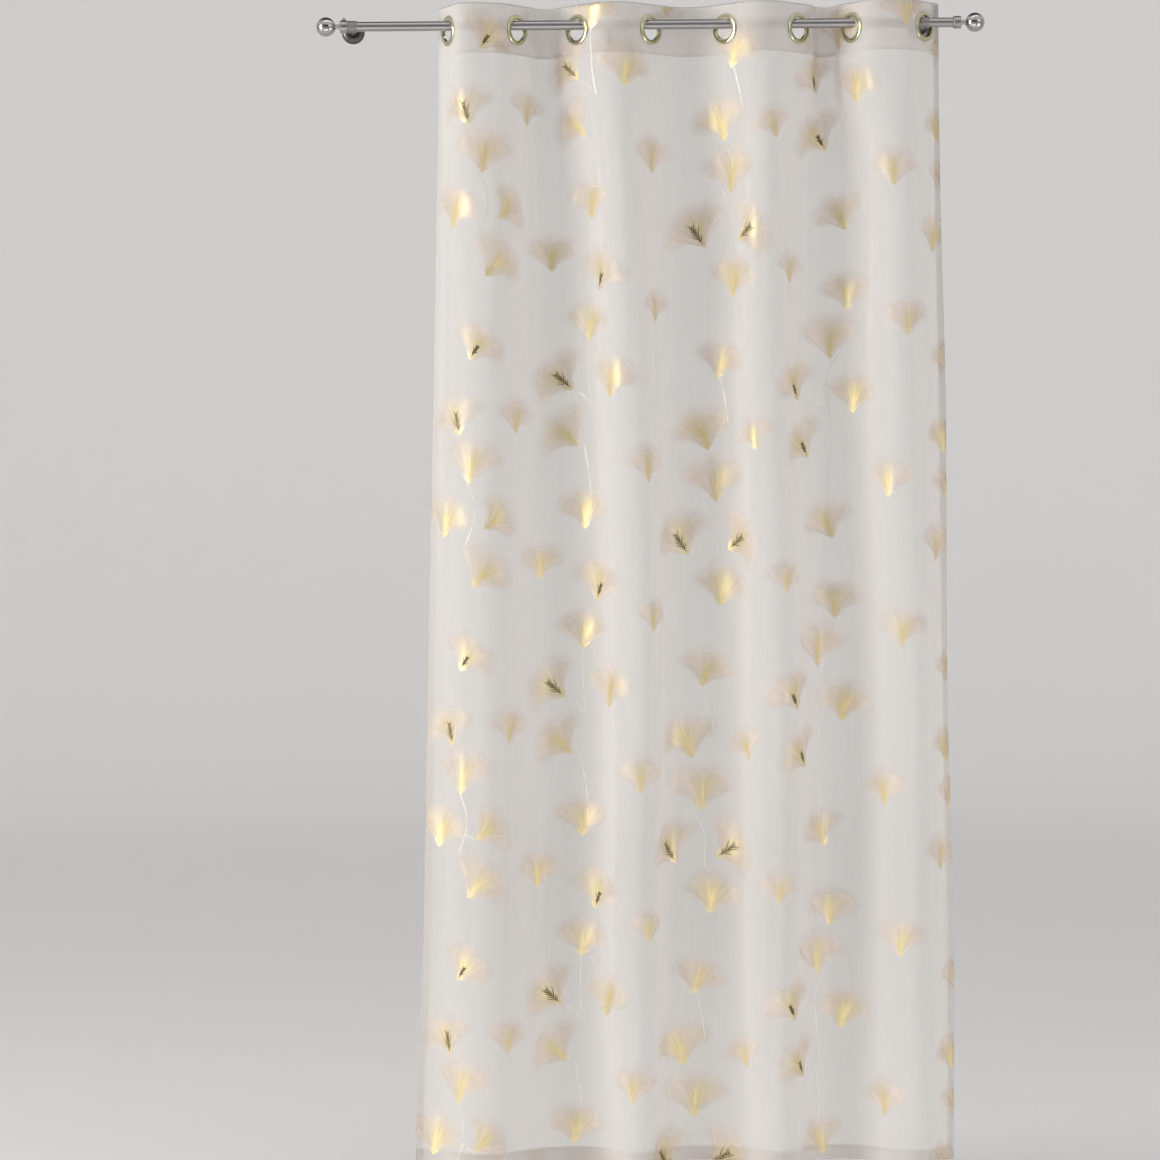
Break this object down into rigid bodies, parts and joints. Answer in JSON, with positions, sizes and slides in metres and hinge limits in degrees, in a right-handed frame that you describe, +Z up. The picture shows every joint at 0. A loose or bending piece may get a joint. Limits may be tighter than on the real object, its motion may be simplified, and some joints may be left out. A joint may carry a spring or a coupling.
{
  "type": "eyelet voile curtain on a curtain pole",
  "caption": "Sheer leaf-print voile curtain hung in soft folds by metal eyelets on a steel curtain pole with ball finials and wall brackets.",
  "frame": {"origin": "middle of the left bracket's flat face on the wall, level with the pole's axis", "axes": "+X along the pole to the right as seen from the room, +Y into the wall, +Z up"},
  "size_m": [1.3834, 0.1623, 2.4019],
  "materials": {
    "voile": "sheer woven voile",
    "pale_gold": "polished pale gold plate",
    "satin_steel": "satin",
    "polished_steel": "polished"
  },
  "bodies": {
    "root": {"curtain_panel": "voile", "heading_band": "voile", "eyelet_front_1": "pale_gold", "eyelet_front_2": "pale_gold", "eyelet_front_3": "pale_gold", "eyelet_front_4": "pale_gold", "eyelet_front_5": "pale_gold", "eyelet_front_6": "pale_gold", "eyelet_front_7": "pale_gold", "eyelet_front_8": "pale_gold", "eyelet_back_1": "pale_gold", "eyelet_back_2": "pale_gold", "eyelet_back_3": "pale_gold", "eyelet_back_4": "pale_gold", "eyelet_back_5": "pale_gold", "eyelet_back_6": "pale_gold", "eyelet_back_7": "pale_gold", "eyelet_back_8": "pale_gold", "pole": "satin_steel", "bracket_arm_left": "satin_steel", "bracket_arm_right": "satin_steel", "rosette_left": "satin_steel", "rosette_right": "satin_steel", "collar_left": "satin_steel", "collar_right": "satin_steel", "thumb_screw": "satin_steel", "finial_left": "polished_steel", "finial_right": "polished_steel"}
  },
  "joints": []
}
